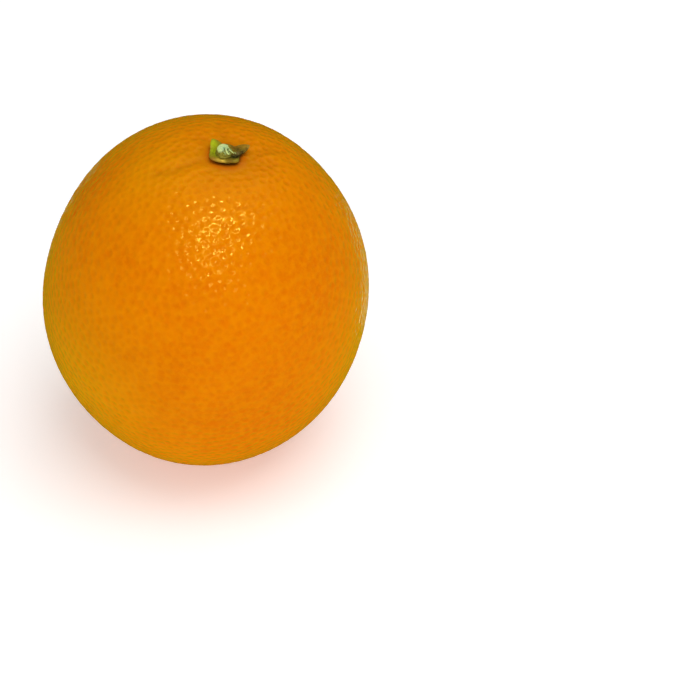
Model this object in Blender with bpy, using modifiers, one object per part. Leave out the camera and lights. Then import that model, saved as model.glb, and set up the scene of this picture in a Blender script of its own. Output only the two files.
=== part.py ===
"""A whole sweet orange resting on its blossom end: pitted peel, green calyx and a cut stem stub."""

import random
from math import acos, atan2, cos, exp, pi, radians, sin, sqrt

import bmesh
import bpy
from mathutils import Matrix, Vector
from mathutils.kdtree import KDTree

MM = 0.001
SHARP_ANGLE = radians(45.0)

# The fruit: a spheroid a little taller than wide, measured from its middle.
EQUATOR_RADIUS = 36.0 * MM
POLE_RADIUS = 41.5 * MM
STEM_DIP_DEPTH = 1.8 * MM
STEM_DIP_SPREAD = radians(13.0)

# How it stands: the stem leans to the right and slightly forwards, and the foot is a small flat.
LEAN = radians(9.25)
LEAN_AZIMUTH = radians(-27.5)
FOOT_RADIUS = 7.0 * MM

# Broad swells and flats of the skin: azimuth, polar angle and breadth in degrees, height.
SWELLS = (
    (-169, 106, 22, 0.30 * MM),
    (-130, 128, 22, -0.30 * MM),
    (-36, 114, 24, 0.15 * MM),
    (10, 76, 22, 0.12 * MM),
    (42, 55, 20, -0.53 * MM),
    (105, 50, 20, 0.33 * MM),
    (132, 60, 20, 0.19 * MM),
    (159, 78, 20, -0.40 * MM),
    (-95, 72, 30, 0.22 * MM),
    (-60, 40, 18, -0.25 * MM),
    (75, 118, 30, -0.25 * MM),
    (110, 90, 26, 0.20 * MM),
)

# Furrows that run out from the stem: azimuth in degrees, where each one ends, its depth.
FURROWS = (
    (202, 18.0 * MM, 0.30 * MM),
    (171, 13.0 * MM, 0.16 * MM),
    (138, 11.0 * MM, 0.22 * MM),
    (98, 14.0 * MM, 0.20 * MM),
    (62, 10.0 * MM, 0.15 * MM),
    (26, 14.0 * MM, 0.26 * MM),
    (-4, 12.5 * MM, 0.24 * MM),
    (-38, 11.0 * MM, 0.15 * MM),
    (-76, 9.0 * MM, 0.10 * MM),
    (-118, 12.0 * MM, 0.14 * MM),
)
FURROW_START = 3.5 * MM
FURROW_FADE = 3.0 * MM
FURROW_WIDTH = 1.6 * MM
FURROW_WANDER = radians(2.5)
FURROW_WANDER_LENGTH = 9.0 * MM

# The scar of the flower at the blossom end: a wide dip round a small crater.
SCAR_DIP_RADIUS = 3.5 * MM
SCAR_DIP_DEPTH = 0.35 * MM
SCAR_RADIUS = 1.9 * MM
SCAR_DEPTH = 0.45 * MM
SCAR_EDGE = 0.7 * MM

# Pits of the oil glands, fewer and wider than the real ones.
PIT_SPACING = 3.1 * MM
PIT_RADIUS = 2.1 * MM
PIT_DEPTH = 0.28 * MM
PIT_FREE_TOP = 5.5 * MM
PIT_FREE_BOTTOM = 2.6 * MM
PIT_SEED = 7

# The mesh of the skin: a ball of small triangles, finer round the stem and the scar.
BALL_LEVEL = 3
BALL_CUTS = 4
FINE_TOP = radians(26.0)
FINE_BOTTOM = (radians(17.0), radians(6.5), radians(4.5))

# The calyx: a cup of five sepals that lies on the skin round the stem.
GAP = 0.3 * MM
CALYX_RADIUS = 3.0 * MM
CALYX_THICKNESS = 0.85 * MM
CALYX_SEAT_RADIUS = 2.0 * MM
CALYX_SEGMENTS = 60
CALYX_RINGS = 12
EDGE_FULLNESS = 0.45
SEPAL_TAPER = 1.2
SEPAL_BULGE = 0.6
# Sepals: azimuth and half width in degrees, length past the cup, lift of the tip.
# The one at the back is worn down to the cup, and the cup itself is fuller on the left.
SEPALS = (
    (28, 27, 2.50 * MM, 0.80 * MM),
    (86, 24, 0.12 * MM, 0.0),
    (138, 30, 1.20 * MM, 1.10 * MM),
    (178, 60, 0.60 * MM, 0.15 * MM),
    (222, 36, 1.10 * MM, 0.25 * MM),
    (316, 24, 0.60 * MM, 0.15 * MM),
)

# The stub: what is left of the stem above the calyx, cut straight across.
STUB_BASE_RADIUS = 1.5 * MM
STUB_TOP_RADIUS = 1.32 * MM
STUB_HEIGHT = 1.0 * MM
STUB_OFFSET = Vector((-0.68 * MM, -0.44 * MM, 0.0))
STUB_TILT = radians(8.0)
STUB_SEGMENTS = 28
STUB_EDGE = 0.18 * MM


def clear_scene():
    """Remove whatever the scene holds."""
    for item in list(bpy.data.objects):
        bpy.data.objects.remove(item, do_unlink=True)


def heading(azimuth, polar):
    """Unit vector at an azimuth round the stem axis and a polar angle from it."""
    return Vector((sin(polar) * cos(azimuth), sin(polar) * sin(azimuth), cos(polar)))


def smooth_step(low, high, value):
    """0 below low, 1 above high, and a smooth rise between."""
    share = min(1.0, max(0.0, (value - low) / (high - low)))
    return share * share * (3.0 - 2.0 * share)


def furrow_depth(azimuth, off_axis):
    """How deep the furrows round the stem lie at a place on the shoulder."""
    wander = FURROW_WANDER * sin(2 * pi * off_axis / FURROW_WANDER_LENGTH)
    total = 0.0
    for degrees_round, end, depth in FURROWS:
        turn = (azimuth - radians(degrees_round) - wander + pi) % (2 * pi) - pi
        across = exp(-((off_axis * turn / FURROW_WIDTH) ** 2))
        along = smooth_step(FURROW_START, FURROW_START + FURROW_FADE, off_axis)
        along *= 1.0 - smooth_step(end - FURROW_FADE, end, off_axis)
        total += depth * across * along
    return total


def scar_depth(off_axis):
    """How deep the flower's scar lies at a distance from the blossom pole."""
    dip = SCAR_DIP_DEPTH * exp(-((off_axis / SCAR_DIP_RADIUS) ** 2))
    crater = SCAR_DEPTH * (1.0 - smooth_step(SCAR_RADIUS - SCAR_EDGE, SCAR_RADIUS, off_axis))
    return dip + crater


def skin_reach(direction):
    """Distance from the fruit's middle to its smooth skin along a unit vector."""
    polar = acos(min(1.0, max(-1.0, direction.z)))
    azimuth = atan2(direction.y, direction.x)
    reach = 1.0 / sqrt((sin(polar) / EQUATOR_RADIUS) ** 2 + (cos(polar) / POLE_RADIUS) ** 2)
    off_axis = reach * sin(polar)
    for swell_azimuth, swell_polar, breadth, height in SWELLS:
        away = direction.angle(heading(radians(swell_azimuth), radians(swell_polar)), 0.0)
        reach += height * exp(-((away / radians(breadth)) ** 2))
    reach -= STEM_DIP_DEPTH * exp(-((polar / STEM_DIP_SPREAD) ** 2))
    if direction.z > 0:
        return reach - furrow_depth(azimuth, off_axis)
    return reach - scar_depth(off_axis)


def skin_height(x, y):
    """Height of the smooth skin above the fruit's middle, near the stem."""
    direction = Vector((x, y, POLE_RADIUS - STEM_DIP_DEPTH)).normalized()
    return skin_reach(direction) * direction.z


def material(name, colour, roughness):
    """A plain Principled material."""
    made = bpy.data.materials.new(name)
    made.use_nodes = True
    shader = made.node_tree.nodes["Principled BSDF"]
    shader.inputs["Base Color"].default_value = (*colour, 1.0)
    shader.inputs["Roughness"].default_value = roughness
    shader.inputs["Metallic"].default_value = 0.0
    return made


def add_part(bm, name, finish, collection, parent):
    """Turn a bmesh into a smooth shaded object that hangs on the stem axis."""
    bmesh.ops.recalc_face_normals(bm, faces=bm.faces)
    mesh = bpy.data.meshes.new(name)
    bm.to_mesh(mesh)
    bm.free()
    mesh.shade_smooth()
    mesh.set_sharp_from_angle(angle=SHARP_ANGLE)
    mesh.materials.append(finish)
    part = bpy.data.objects.new(name, mesh)
    collection.objects.link(part)
    part.parent = parent
    return part


def refine(bm, pole, limit):
    """Split the ball's triangles in four where they lie within an angle of a pole."""
    near = {vert for vert in bm.verts if vert.co.angle(pole) < limit}
    edges = [edge for edge in bm.edges if all(vert in near for vert in edge.verts)]
    bmesh.ops.subdivide_edges(bm, edges=edges, cuts=1, use_grid_fill=True)
    bmesh.ops.triangulate(bm, faces=bm.faces)
    for vert in bm.verts:
        vert.co.normalize()


def pit_places(directions):
    """Middles of the pits: points of the ball, none nearer to another than the spacing."""
    order = list(directions)
    random.Random(PIT_SEED).shuffle(order)
    order.sort(key=lambda direction: round(direction.z, 1))
    places = []
    for direction in order:
        place = direction * skin_reach(direction)
        free = PIT_FREE_TOP if place.z > 0 else PIT_FREE_BOTTOM
        if place.xy.length < free:
            continue
        if all((place - other).length > PIT_SPACING for other in places):
            places.append(place)
    tree = KDTree(len(places))
    for number, place in enumerate(places):
        tree.insert(place, number)
    tree.balance()
    return tree


def pit_depth(pits, place):
    """How deep the nearest pit lies at a place on the skin."""
    away = pits.find(place)[2] / PIT_RADIUS
    return PIT_DEPTH * max(0.0, 1.0 - away * away) ** 2


def build_fruit(lean, finish, collection, parent):
    """The peel-covered fruit, one solid. Returns it and how far its foot lies below its middle."""
    bm = bmesh.new()
    bmesh.ops.create_icosphere(bm, subdivisions=BALL_LEVEL, radius=1.0)
    bmesh.ops.subdivide_edges(bm, edges=bm.edges, cuts=BALL_CUTS, use_grid_fill=True)
    for vert in bm.verts:
        vert.co.normalize()
    pits = pit_places([vert.co.copy() for vert in bm.verts])
    stem_end = Vector((0.0, 0.0, 1.0))
    refine(bm, stem_end, FINE_TOP)
    for limit in FINE_BOTTOM:
        refine(bm, -stem_end, limit)

    for vert in bm.verts:
        place = vert.co * skin_reach(vert.co)
        vert.co *= place.length - pit_depth(pits, place)

    # The foot is flattened square to the ground, which is not square to the leaning stem.
    down = lean.transposed() @ Vector((0.0, 0.0, -1.0))
    foot_depth = FOOT_RADIUS ** 2 * POLE_RADIUS / (2 * EQUATOR_RADIUS ** 2)
    foot = max(vert.co.dot(down) for vert in bm.verts) - foot_depth
    for vert in bm.verts:
        below = vert.co.dot(down) - foot
        if below > 0:
            vert.co -= down * below
    return add_part(bm, "fruit", finish, collection, parent), foot


def sepal_shape(azimuth):
    """Reach and lift of the calyx's rim at an azimuth."""
    reach = CALYX_RADIUS
    lift = 0.0
    for degrees_round, half_width, length, tip_lift in SEPALS:
        turn = (azimuth - radians(degrees_round) + pi) % (2 * pi) - pi
        share = max(0.0, 1.0 - abs(turn) / radians(half_width))
        lobe = share ** SEPAL_TAPER * (1.0 + SEPAL_BULGE * (1.0 - share))
        reach += length * lobe
        lift += tip_lift * lobe
    return reach, lift


def build_calyx(finish, collection, parent):
    """The five-sepal cup: a ball pressed flat onto the skin and drawn out into sepals."""
    bm = bmesh.new()
    bmesh.ops.create_uvsphere(bm, u_segments=CALYX_SEGMENTS, v_segments=CALYX_RINGS, radius=1.0)
    for vert in bm.verts:
        azimuth = atan2(vert.co.y, vert.co.x)
        reach, lift = sepal_shape(azimuth)
        out = reach * vert.co.xy.length
        x = out * cos(azimuth)
        y = out * sin(azimuth)
        rise = lift * smooth_step(CALYX_SEAT_RADIUS, reach, out)
        half = 0.5 * CALYX_THICKNESS * abs(vert.co.z) ** EDGE_FULLNESS
        middle = skin_height(x, y) + GAP + 0.5 * CALYX_THICKNESS + rise
        vert.co = (x, y, middle + half if vert.co.z > 0 else middle - half)
    return add_part(bm, "calyx", finish, collection, parent)


def build_stub(finish, collection, parent):
    """The stem stub: a short tapered peg with a softened cut edge."""
    bm = bmesh.new()
    bmesh.ops.create_cone(
        bm,
        cap_ends=True,
        segments=STUB_SEGMENTS,
        radius1=STUB_BASE_RADIUS,
        radius2=STUB_TOP_RADIUS,
        depth=STUB_HEIGHT,
    )
    bmesh.ops.translate(bm, verts=bm.verts, vec=(0.0, 0.0, 0.5 * STUB_HEIGHT))
    stub = add_part(bm, "stem_stub", finish, collection, parent)
    up = Vector((0.0, 0.0, 1.0))
    calyx_top = skin_height(0.0, 0.0) + GAP + CALYX_THICKNESS
    tilt_rise = STUB_BASE_RADIUS * sin(STUB_TILT)
    stub.rotation_euler = Matrix.Rotation(STUB_TILT, 3, up.cross(STUB_OFFSET)).to_euler()
    stub.location = STUB_OFFSET + up * (calyx_top + GAP + tilt_rise)
    bevel = stub.modifiers.new("soft edge", "BEVEL")
    bevel.width = STUB_EDGE
    bevel.segments = 2
    bevel.limit_method = "ANGLE"
    bevel.angle_limit = SHARP_ANGLE
    return stub


def main():
    """Build the orange, then stand it on the ground with its outline centred on the origin."""
    clear_scene()
    collection = bpy.data.collections.new("orange")
    bpy.context.scene.collection.children.link(collection)
    axis = bpy.data.objects.new("stem_axis", None)
    collection.objects.link(axis)

    lean_about = Vector((-sin(LEAN_AZIMUTH), cos(LEAN_AZIMUTH), 0.0))
    lean = Matrix.Rotation(LEAN, 3, lean_about)
    peel = material("orange peel", (0.81, 0.24, 0.004), 0.42)
    green = material("calyx green", (0.16, 0.20, 0.02), 0.60)
    cut = material("cut stem", (0.47, 0.56, 0.25), 0.70)

    fruit, foot = build_fruit(lean, peel, collection, axis)
    build_calyx(green, collection, axis)
    build_stub(cut, collection, axis)

    leaning = [lean @ vert.co for vert in fruit.data.vertices]
    middle_x = 0.5 * (min(p.x for p in leaning) + max(p.x for p in leaning))
    middle_y = 0.5 * (min(p.y for p in leaning) + max(p.y for p in leaning))
    axis.location = (-middle_x, -middle_y, foot)
    axis.rotation_euler = lean.to_euler()


main()
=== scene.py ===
from math import atan2, cos, exp, hypot, pi, radians, sin, sqrt

import bmesh
import bpy
import numpy as np
from mathutils import Matrix, Vector, noise


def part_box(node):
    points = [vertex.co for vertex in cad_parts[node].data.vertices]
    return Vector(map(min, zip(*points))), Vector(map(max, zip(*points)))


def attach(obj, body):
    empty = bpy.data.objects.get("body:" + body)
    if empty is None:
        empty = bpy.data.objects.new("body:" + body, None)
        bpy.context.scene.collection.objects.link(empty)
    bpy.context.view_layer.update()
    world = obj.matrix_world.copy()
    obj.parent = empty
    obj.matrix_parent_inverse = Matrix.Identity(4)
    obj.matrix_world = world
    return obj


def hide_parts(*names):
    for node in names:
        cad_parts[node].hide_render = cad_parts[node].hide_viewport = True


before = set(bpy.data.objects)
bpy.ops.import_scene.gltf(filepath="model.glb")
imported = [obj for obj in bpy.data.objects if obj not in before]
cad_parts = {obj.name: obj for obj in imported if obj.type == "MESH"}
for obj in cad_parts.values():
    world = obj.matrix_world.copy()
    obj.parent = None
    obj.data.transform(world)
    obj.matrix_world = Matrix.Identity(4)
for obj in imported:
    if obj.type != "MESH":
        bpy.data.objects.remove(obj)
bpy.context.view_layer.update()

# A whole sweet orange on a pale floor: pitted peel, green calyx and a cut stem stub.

MM = 0.001
UP = Vector((0.0, 0.0, 1.0))
WHITE = (1.0, 1.0, 1.0, 1.0)

# The fruit's own sizes, as in the solids.
EQUATOR_RADIUS = 36.0 * MM
POLE_RADIUS = 41.5 * MM
STEM_DIP_DEPTH = 1.8 * MM
STEM_DIP_SPREAD = radians(13.0)
LEAN = radians(9.25)
LEAN_AZIMUTH = radians(-27.5)
FOOT_RADIUS = 7.0 * MM
# The peel is set in by this much, so that its ripples stay within the solid.
SKIN_INSET = 0.1 * MM

# Broad swells and flats: azimuth, polar angle and breadth in degrees, height.
SWELLS = (
    (-169, 106, 22, 0.30 * MM),
    (-130, 128, 22, -0.30 * MM),
    (-36, 114, 24, 0.15 * MM),
    (10, 76, 22, 0.12 * MM),
    (42, 55, 20, -0.53 * MM),
    (105, 50, 20, 0.33 * MM),
    (132, 60, 20, 0.19 * MM),
    (159, 78, 20, -0.40 * MM),
    (-95, 72, 30, 0.22 * MM),
    (-60, 40, 18, -0.25 * MM),
    (75, 118, 30, -0.25 * MM),
    (110, 90, 26, 0.20 * MM),
)

# Furrows out from the stem: azimuth in degrees, where each one ends, its depth.
FURROWS = (
    (202, 18.0 * MM, 0.30 * MM),
    (171, 13.0 * MM, 0.16 * MM),
    (138, 11.0 * MM, 0.22 * MM),
    (98, 14.0 * MM, 0.20 * MM),
    (62, 10.0 * MM, 0.15 * MM),
    (26, 14.0 * MM, 0.26 * MM),
    (-4, 12.5 * MM, 0.24 * MM),
    (-38, 11.0 * MM, 0.15 * MM),
    (-76, 9.0 * MM, 0.10 * MM),
    (-118, 12.0 * MM, 0.14 * MM),
)
DEEPEST_FURROW = 0.30 * MM
FURROW_START = 3.5 * MM
FURROW_FADE = 3.0 * MM
FURROW_WIDTH = 1.6 * MM
FURROW_WANDER = radians(2.5)
FURROW_WANDER_LENGTH = 9.0 * MM

# The flower's scar at the blossom end.
SCAR_DIP_RADIUS = 3.5 * MM
SCAR_DIP_DEPTH = 0.35 * MM
SCAR_RADIUS = 1.9 * MM
SCAR_DEPTH = 0.45 * MM
SCAR_EDGE = 0.7 * MM

# The oil glands' pits. Each one draws its girth and depth, as shares of the radius and depth here.
PIT_SPACING = 1.65 * MM
PIT_RADIUS = 1.2 * MM
PIT_DEPTH = 0.14 * MM
PIT_SEED = 11
LEAST_GIRTH = 0.7
GIRTH_SPREAD = 0.4
LEAST_DEPTH = 0.5
DEPTH_SPREAD = 0.5
# A pit's floor reaches this share of the way out.
PIT_FLOOR = 0.1
# The first draw times this, without its whole part, is a second draw.
SECOND_DRAW = 37.0
# Glands are tried this many to a square metre, and kept where they stand far enough apart.
GLAND_TRIES = 4.0e6
# Distance from the stem where the pits start, and where they have their full depth.
CLEAR_RADIUS = 2.8 * MM
PITTED_RADIUS = 3.0 * CLEAR_RADIUS

# The skin between the pits: ripples in the mesh, the rest in the finish.
RIPPLE_HEIGHT = 0.18 * MM
RIPPLE_LENGTH = 1.7 * MM
PIT_RELIEF = 0.12 * MM
PEBBLE_HEIGHT = 0.18 * MM
PEBBLE_LENGTH = 2.2 * MM
GRAIN_HEIGHT = 0.015 * MM
GRAIN_LENGTH = 0.4 * MM

# Named inputs of the peel's node tree. Rows are points along each edge of the cube it starts from.
PEEL_SIZES = {
    "Rows": 129,
    "Equator Radius": EQUATOR_RADIUS,
    "Pole Radius": POLE_RADIUS,
    "Stem Dip Depth": STEM_DIP_DEPTH,
    "Stem Dip Spread": STEM_DIP_SPREAD,
    "Pit Spacing": PIT_SPACING,
    "Pit Radius": PIT_RADIUS,
    "Pit Depth": PIT_DEPTH,
    "Pit Seed": PIT_SEED,
}
FACE_CORNERS = 4

# The peel's colours. All colours here are screen values from 0 to 255.
RIND = (231, 115, 1)
BRIGHT_RIND = (238, 125, 1)
# Yellower rind, also used as painted reflection, highlight and gloss haze.
YELLOW_RIND_AND_PAINTED_GLOSS = (230, 158, 1)
# Redder, darker rind used as painted shade.
PAINTED_SHADE_RED = (208, 78, 1)
PALE_MOTTLE = (241, 147, 2)
# Pits and furrows are painted darker: painted shade in these hollows, and in the pits partly also the
# glands' deeper orange.
PIT_SHADE = (218, 98, 0)
FURROW_SHADE = (196, 110, 8)
MOTTLE_STRENGTH = 0.6
PIT_STRENGTH = 0.25
FURROW_STRENGTH = 0.3

# Patches where the peel is yellower, partly its own tone and partly painted gloss: azimuth, polar angle
# and breadth in degrees, strength.
YELLOW_AND_PAINTED_GLOSS_PATCHES = (
    # Lower left edge: painted reflection of the pale floor.
    (-141, 104, 34, 0.9),
    # Right edge: painted reflection of the pale floor.
    (-4, 92, 26, 1.0),
    # Beside the stem: a painted highlight on a ridge.
    (-167, 24, 14, 0.4),
    # This and the next, on the back: the rind's own yellower tone.
    (62, 84, 34, 0.6),
    (148, 112, 30, 0.7),
    # Over the stem end: painted haze of gloss on the shoulder.
    (0, 0, 38, 0.35),
)
# Redder, darker patches of painted shade, on the left shoulder and on the front right, given in the same
# way.
PAINTED_SHADE_PATCHES = (
    (169, 54, 17, 0.95),
    (-49, 54, 22, 0.20),
)

# Rings of colour round the stem: radius where each starts to fade and where it ends, strength, colour. The
# last two are painted shade.
STEM_TINT_AND_SHADE_RINGS = (
    (3.2 * MM, 7.5 * MM, 0.45, (186, 118, 10)),
    # A reddish band just round the calyx's edge: painted shade.
    (3.6 * MM, 5.4 * MM, 0.60, (204, 92, 12)),
    # A dark brown ring under the calyx and just past its edge: painted shade.
    (2.6 * MM, 3.9 * MM, 0.85, (92, 40, 8)),
)
# The same for the scar at the other end.
SCAR_RINGS = (
    (1.4 * MM, 2.3 * MM, 0.90, (104, 66, 30)),
)

# Blotches: length, noise levels where they start and are full, detail and roughness of the noise.
RIND_BLOTCHES = (22.0 * MM, 0.35, 0.65, 3.0, 0.5)
MOTTLE = (1.9 * MM, 0.30, 0.70, 4.0, 0.7)
SPECKLE = (0.5 * MM, 0.35, 0.70, 3.0, 0.6)
FIBRE = (0.25 * MM, 0.50, 0.75, 2.0, 0.5)
WOOD_RINGS = (0.45 * MM, 0.35, 0.70, 3.0, 0.6)
BARK_STREAKS = (0.45 * MM, 0.40, 0.65, 3.0, 0.5)

# The peel's gloss: a thin wax that is a little uneven, over a rind that lets some light in.
WAX_ROUGHNESS = 0.08
WAX_UNEVENNESS = 0.07
WAX_LENGTH = 6.0 * MM
PEEL_GLOSS = {
    "Subsurface Weight": 0.15,
    "Subsurface Radius": (1.0, 0.4, 0.08),
    "Subsurface Scale": 0.9 * MM,
    "Specular IOR Level": 0.5,
    "Sheen Weight": 0.33,
    "Sheen Roughness": 0.42,
}
GLINT_COLOUR = (255, 246, 105)
SHEEN_COLOUR = (246, 250, 36)

# The calyx: a cup of five sepals, with a groove round the stem and a raised rim.
GAP = 0.3 * MM
CALYX_RADIUS = 3.0 * MM
CALYX_THICKNESS = 0.85 * MM
CALYX_SEAT_RADIUS = 2.0 * MM
CALYX_SEGMENTS = 180
CALYX_RINGS = 44
CALYX_INSET = 0.05 * MM
EDGE_FULLNESS = 0.45
SEPAL_TAPER = 1.2
SEPAL_BULGE = 0.6
# Sepals: azimuth and half width in degrees, length past the cup, lift of the tip.
# The one at the back is worn down to the cup, and the cup itself is fuller on the left.
SEPALS = (
    (28, 27, 2.50 * MM, 0.80 * MM),
    (86, 24, 0.12 * MM, 0.0),
    (138, 30, 1.20 * MM, 1.10 * MM),
    (178, 60, 0.60 * MM, 0.15 * MM),
    (222, 36, 1.10 * MM, 0.25 * MM),
    (316, 24, 0.60 * MM, 0.15 * MM),
)
# Its edge starts this share of the way out, and is thinner there where a sepal lifts.
EDGE_START = 0.35
EDGE_THINNING = 0.4
RIB_HEIGHT = 0.10 * MM
RIB_WIDTH = radians(7.0)
GROOVE_DEPTH = 0.28 * MM
GROOVE_WIDTH = 0.35 * MM
RIM_HEIGHT = 0.14 * MM
# The raised rim's middle and breadth, as shares of the way out.
RIM_PLACE = 0.9
RIM_BREADTH = 0.1
# Hollows and lumps of its upper side: azimuth, distance from the stem's axis, breadth, height.
CALYX_LUMPS = (
    (-24, 1.8 * MM, 0.50 * MM, -0.30 * MM),
    (-12, 2.5 * MM, 0.60 * MM, -0.42 * MM),
    (-34, 2.5 * MM, 0.45 * MM, -0.25 * MM),
    (18, 2.4 * MM, 0.40 * MM, 0.22 * MM),
    (322, 3.1 * MM, 0.35 * MM, 0.15 * MM),
    (255, 3.0 * MM, 0.50 * MM, 0.10 * MM),
)
# Unevenness: length of its lumps, the level at which the noise is read, height.
WRINKLES = (0.90 * MM, 7.0 * MM, 0.10 * MM)
CREASES = (0.35 * MM, 3.0 * MM, 0.035 * MM)
# The wrinkles show on the underside by this share.
UNDERSIDE_WRINKLES = 0.3

# The calyx's colours.
SEPAL_BROWN = (150, 126, 24)
SEPAL_DARK = (112, 92, 16)
FIBRE_COLOUR = (196, 188, 96)
FIBRE_STRENGTH = 0.2
TIP_COLOUR = (196, 146, 58)
TIP_STRENGTH = 0.7
TIP_START = 4.4 * MM
TIP_END = 5.6 * MM
# Patches of colour: azimuth, distance from the axis, breadth, strength and colour of each. Some are
# painted highlight and shade, as marked.
CALYX_TONE_AND_PAINTED_LIGHT_PATCHES = (
    (150, 3.4 * MM, 1.20 * MM, 0.90, (176, 192, 4)),
    (184, 2.9 * MM, 1.10 * MM, 0.90, (160, 176, 4)),
    (206, 3.0 * MM, 0.90 * MM, 0.80, (146, 150, 8)),
    (166, 3.75 * MM, 0.32 * MM, 0.75, (222, 194, 74)),
    (182, 3.65 * MM, 0.32 * MM, 0.65, (206, 186, 60)),
    (226, 4.0 * MM, 0.60 * MM, 0.60, (170, 112, 36)),
    # Front rim, this and the next: a painted highlight.
    (256, 2.9 * MM, 0.60 * MM, 0.95, (226, 190, 68)),
    (238, 3.1 * MM, 0.60 * MM, 0.85, (210, 172, 58)),
    # Darker olive in the groove before the stub: painted shade.
    (244, 2.2 * MM, 0.40 * MM, 0.70, (112, 104, 10)),
    (288, 2.8 * MM, 0.60 * MM, 0.80, (124, 92, 22)),
    (320, 3.0 * MM, 0.40 * MM, 0.80, (152, 138, 34)),
    # Dark brown between the stub and the right sepal: painted shade.
    (50, 2.3 * MM, 0.60 * MM, 0.80, (108, 68, 8)),
    # Near-black in the hollow beside the stub, this and the next two: painted shade.
    (-26, 1.7 * MM, 0.65 * MM, 0.95, (40, 38, 4)),
    (-12, 2.5 * MM, 1.00 * MM, 0.98, (28, 22, 3)),
    (-40, 2.1 * MM, 0.60 * MM, 0.90, (48, 50, 6)),
    (4, 2.45 * MM, 0.28 * MM, 0.80, (132, 112, 62)),
    (36, 3.4 * MM, 0.80 * MM, 0.75, (140, 98, 12)),
    # Dark brown at the right sepal's base: painted shade.
    (28, 2.6 * MM, 0.60 * MM, 0.80, (84, 58, 4)),
    (27, 4.2 * MM, 0.50 * MM, 0.75, (176, 128, 32)),
    # Under the right sepal's edge, this and the next: painted shadow.
    (8, 3.3 * MM, 0.70 * MM, 0.85, (52, 34, 4)),
    (17, 4.4 * MM, 0.40 * MM, 0.70, (84, 52, 8)),
)
CALYX_ROUGHNESS = 0.45
SPECKLE_ROUGHNESS = 0.25
CALYX_SPECULAR = 0.12
CALYX_GRAIN_LENGTH = 0.3 * MM

# The stem stub: a clean cut on the left, torn lower towards the front right.
STUB_BASE_RADIUS = 1.5 * MM
STUB_TOP_RADIUS = 1.32 * MM
STUB_HEIGHT = 1.0 * MM
STUB_OFFSET = Vector((-0.68 * MM, -0.44 * MM, 0.0))
STUB_TILT = radians(8.0)
STUB_SEGMENTS = 144
# Its outline: how much wider the buried root is than the base, and how high; shares of the height
# up its side; how far in from the side and down from the top the cut's rounded edge lies.
STUB_ROOT = ((0.25 * MM, -0.55 * MM), (0.18 * MM, -0.20 * MM))
STUB_SIDE = (0.0, 0.1, 0.2, 0.32, 0.44, 0.56, 0.68, 0.8, 0.9)
CUT_EDGE = ((0.01 * MM, 0.05 * MM), (0.06 * MM, 0.0))
CUT_RINGS = 16
# The cut lies a little lower than its edge, and the whole stub is set down a little.
CUT_DISH = 0.02 * MM
STUB_SINK = 0.03 * MM
# Grain up its side and broad swells round it: turns of the noise round it, share of the radius.
SIDE_GRAIN = (5.0, 0.035)
SIDE_GRAIN_LENGTH = 1.5 * MM
SIDE_SWELL = (1.3, 0.05)
SIDE_SWELL_LEVEL = 9.0
# The tear: where it starts from the middle, and its width, as shares of the radius.
TEAR_AZIMUTH = radians(-38.0)
TEAR_START = 0.0
TEAR_WIDTH = 0.3
TEAR_DEPTH = 0.6 * MM
# Below this share of its height the stub's side is neither torn nor rough.
SIDE_KEPT = 0.3
# Raggedness of the tear's edge, as a share of the radius, and grain of the cut, given as WRINKLES are.
RAGGED_EDGE = (0.70 * MM, 2.0 * MM, 0.25)
CUT_GRAIN = (0.30 * MM, 5.0 * MM, 0.03 * MM)
# Torn fibres, and the noise at which they have gone from wholly light to wholly dark; the deeper fibres
# are the darker, partly painted shade.
TORN_FIBRE_LENGTH = 0.38 * MM
TORN_FIBRE_HEIGHT = 0.22 * MM
DARK_SPREAD = 0.25
# Torn splinters, by their azimuth round the stub in degrees: distance from its axis and height
# of the upper end, the same of the lower end, thickness, and how light the wood is.
SPLINTERS = (
    (-18, (1.15 * MM, 0.92 * MM), (2.35 * MM, 0.20 * MM), 0.17 * MM, 0.85),
    (-52, (0.85 * MM, 0.98 * MM), (1.85 * MM, 0.45 * MM), 0.22 * MM, 1.00),
    (-35, (1.05 * MM, 0.75 * MM), (1.95 * MM, 0.20 * MM), 0.13 * MM, 0.45),
    (-72, (1.15 * MM, 0.80 * MM), (1.65 * MM, 0.25 * MM), 0.14 * MM, 0.60),
    (-14, (2.40 * MM, 0.35 * MM), (2.85 * MM, -0.05 * MM), 0.16 * MM, 0.55),
    (4, (1.25 * MM, 0.80 * MM), (1.80 * MM, 0.30 * MM), 0.12 * MM, 0.35),
)
SPLINTER_STEPS = 9
SPLINTER_SIDES = 8
SPLINTER_SAG = 1.6
SPLINTER_BENDS = 2.5
SPLINTER_SWAY = 1.2
SPLINTER_FLATNESS = 0.7
# Least girth as a share of the thickness, and the part of half a wave that the girth follows.
SPLINTER_TIP = 0.35
SPLINTER_WAVE = (0.15, 0.7)

# The stub's colours, and the distances from its axis where its pith ends and its rind starts.
WOOD_YELLOW = (206, 222, 150)
WOOD_GREEN = (166, 202, 142)
RIND_WOOD = (208, 222, 126)
RIND_WOOD_STRENGTH = 0.7
RIND_WOOD_RADII = (0.8 * MM, 1.3 * MM)
PITH = (120, 168, 130)
PITH_STRENGTH = 0.6
PITH_RADII = (0.15 * MM, 0.45 * MM)
# Dark green of the torn wood, darkest where the tear lies deepest: partly its own colour, partly painted
# shade.
TORN_WOOD_AND_SHADE = (40, 56, 8)
BARK_LIGHT = (158, 148, 52)
BARK_DARK = (110, 104, 20)
# Shares of the stub's height between which bark gives way to wood.
BARK_HEIGHTS = (0.45, 0.75)
STUB_ROUGHNESS = 0.5
STREAK_ROUGHNESS = 0.2
STUB_SPECULAR = 0.2
STUB_GRAIN_LENGTH = 0.25 * MM

# Fine grain in the finish of the calyx and the stub.
FINE_GRAIN_STRENGTH = 0.8
FINE_GRAIN_DEPTH = 0.05 * MM

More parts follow.
